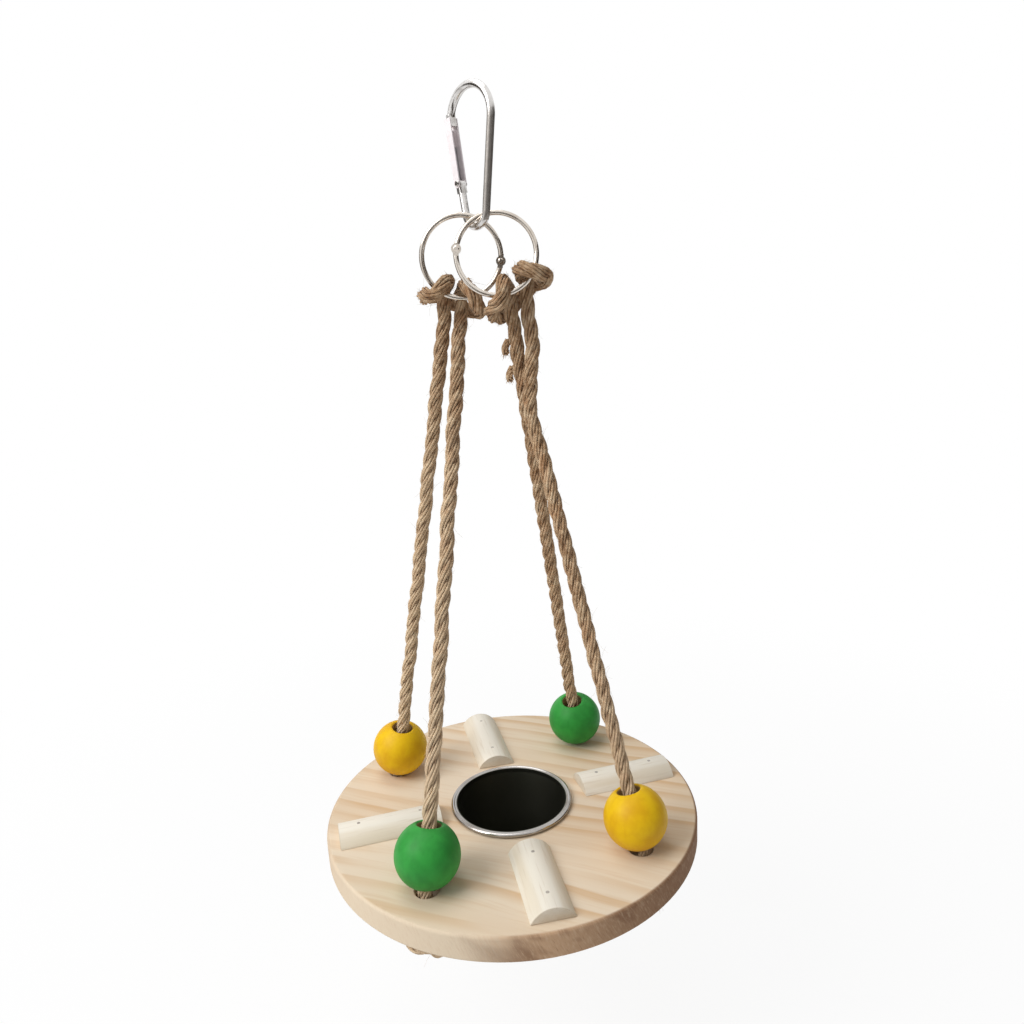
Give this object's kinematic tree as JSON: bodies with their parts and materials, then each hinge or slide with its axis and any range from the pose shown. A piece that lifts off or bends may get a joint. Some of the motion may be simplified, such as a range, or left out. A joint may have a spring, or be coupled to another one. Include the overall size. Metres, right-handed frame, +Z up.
{
  "type": "bird swing",
  "caption": "Hanging feeder swing for a small parrot: a round wooden tray with a steel cup and perch strips, on doubled ropes from binder rings and a snap hook.",
  "frame": {"origin": "the hanging point: the inside top of the snap hook's wide bow, where a bar or chain bears", "axes": "+Z up along the hanging swing, +X to the right of the front view, +Y away from the viewer"},
  "size_m": [0.19, 0.19, 0.3836],
  "materials": {
    "hook_zinc": "satin",
    "gate_zinc": "satin",
    "spring_steel": "plain",
    "ring_nickel": "nickel plate",
    "jute": "laid three-strand rope",
    "board_wood": "plain, unvarnished",
    "perch_wood": "plain, sanded",
    "green_paint": "glossy dye",
    "yellow_paint": "glossy dye",
    "cup_steel": "polished",
    "brad_steel": "plain"
  },
  "bodies": {
    "hook": {"hook_body": "hook_zinc", "gate_rivet": "hook_zinc"},
    "gate": {"hook_gate": "gate_zinc", "gate_spring": "spring_steel"},
    "rings": {"left_ring_lower": "ring_nickel", "left_ring_pin": "ring_nickel", "right_ring_lower": "ring_nickel", "right_ring_pin": "ring_nickel"},
    "left_ring_top": {"left_ring_upper": "ring_nickel"},
    "right_ring_top": {"right_ring_upper": "ring_nickel"},
    "tray": {"board": "board_wood", "perch_front": "perch_wood", "perch_back": "perch_wood", "perch_left": "perch_wood", "perch_right": "perch_wood", "perch_brads": "brad_steel", "left_hitch": "jute", "right_hitch": "jute", "rope_tails": "jute", "rope_front_left": "jute", "rope_back_left": "jute", "rope_front_right": "jute", "rope_back_right": "jute", "knot_front_left": "jute", "knot_back_left": "jute", "knot_front_right": "jute", "knot_back_right": "jute"},
    "cup": {"food_cup": "cup_steel"},
    "bead_fl": {"bead_front_left": "green_paint"},
    "bead_bl": {"bead_back_left": "yellow_paint"},
    "bead_fr": {"bead_front_right": "yellow_paint"},
    "bead_br": {"bead_back_right": "green_paint"}
  },
  "joints": [
    {"name": "gate_hinge", "type": "hinge", "parent": "hook", "child": "gate", "pos_m": [-0.00596, 0.00662, -0.03675], "axis": [0.7431, 0.6691, 0], "range_deg": [0, 25], "stiffness_Nm_per_rad": 0.02, "springref_deg": -20.05},
    {"name": "rings_sway", "type": "hinge", "parent": "hook", "child": "rings", "pos_m": [0, 0, -0.05575], "axis": [0, 1, 0], "range_deg": [-8, 8]},
    {"name": "left_ring_open", "type": "hinge", "parent": "rings", "child": "left_ring_top", "pos_m": [0.00983, 0.00354, -0.07054], "axis": [0, 0.9936, 0.1132], "range_deg": [0, 30]},
    {"name": "right_ring_open", "type": "hinge", "parent": "rings", "child": "right_ring_top", "pos_m": [-0.00973, -0.00291, -0.06501], "axis": [0, 0.9936, -0.1132], "range_deg": [-30, 0]},
    {"name": "tray_swing", "type": "hinge", "parent": "rings", "child": "tray", "pos_m": [0.00169, 0.00009, -0.08402], "axis": [0.9479, -0.3149, 0.0485], "range_deg": [-6, 6]},
    {"name": "cup_lift", "type": "slide", "parent": "tray", "child": "cup", "axis": [0, 0, 1], "range_m": [0, 0.06]},
    {"name": "bead_slide_front_left", "type": "slide", "parent": "tray", "child": "bead_fl", "axis": [0.1178, 0.2882, 0.9503], "range_m": [0, 0.13]},
    {"name": "bead_slide_back_left", "type": "slide", "parent": "tray", "child": "bead_bl", "axis": [0.1803, -0.1032, 0.9782], "range_m": [0, 0.13]},
    {"name": "bead_slide_front_right", "type": "slide", "parent": "tray", "child": "bead_fr", "axis": [-0.1918, 0.206, 0.9596], "range_m": [0, 0.13]},
    {"name": "bead_slide_back_right", "type": "slide", "parent": "tray", "child": "bead_br", "axis": [-0.1113, -0.2381, 0.9648], "range_m": [0, 0.13]}
  ]
}
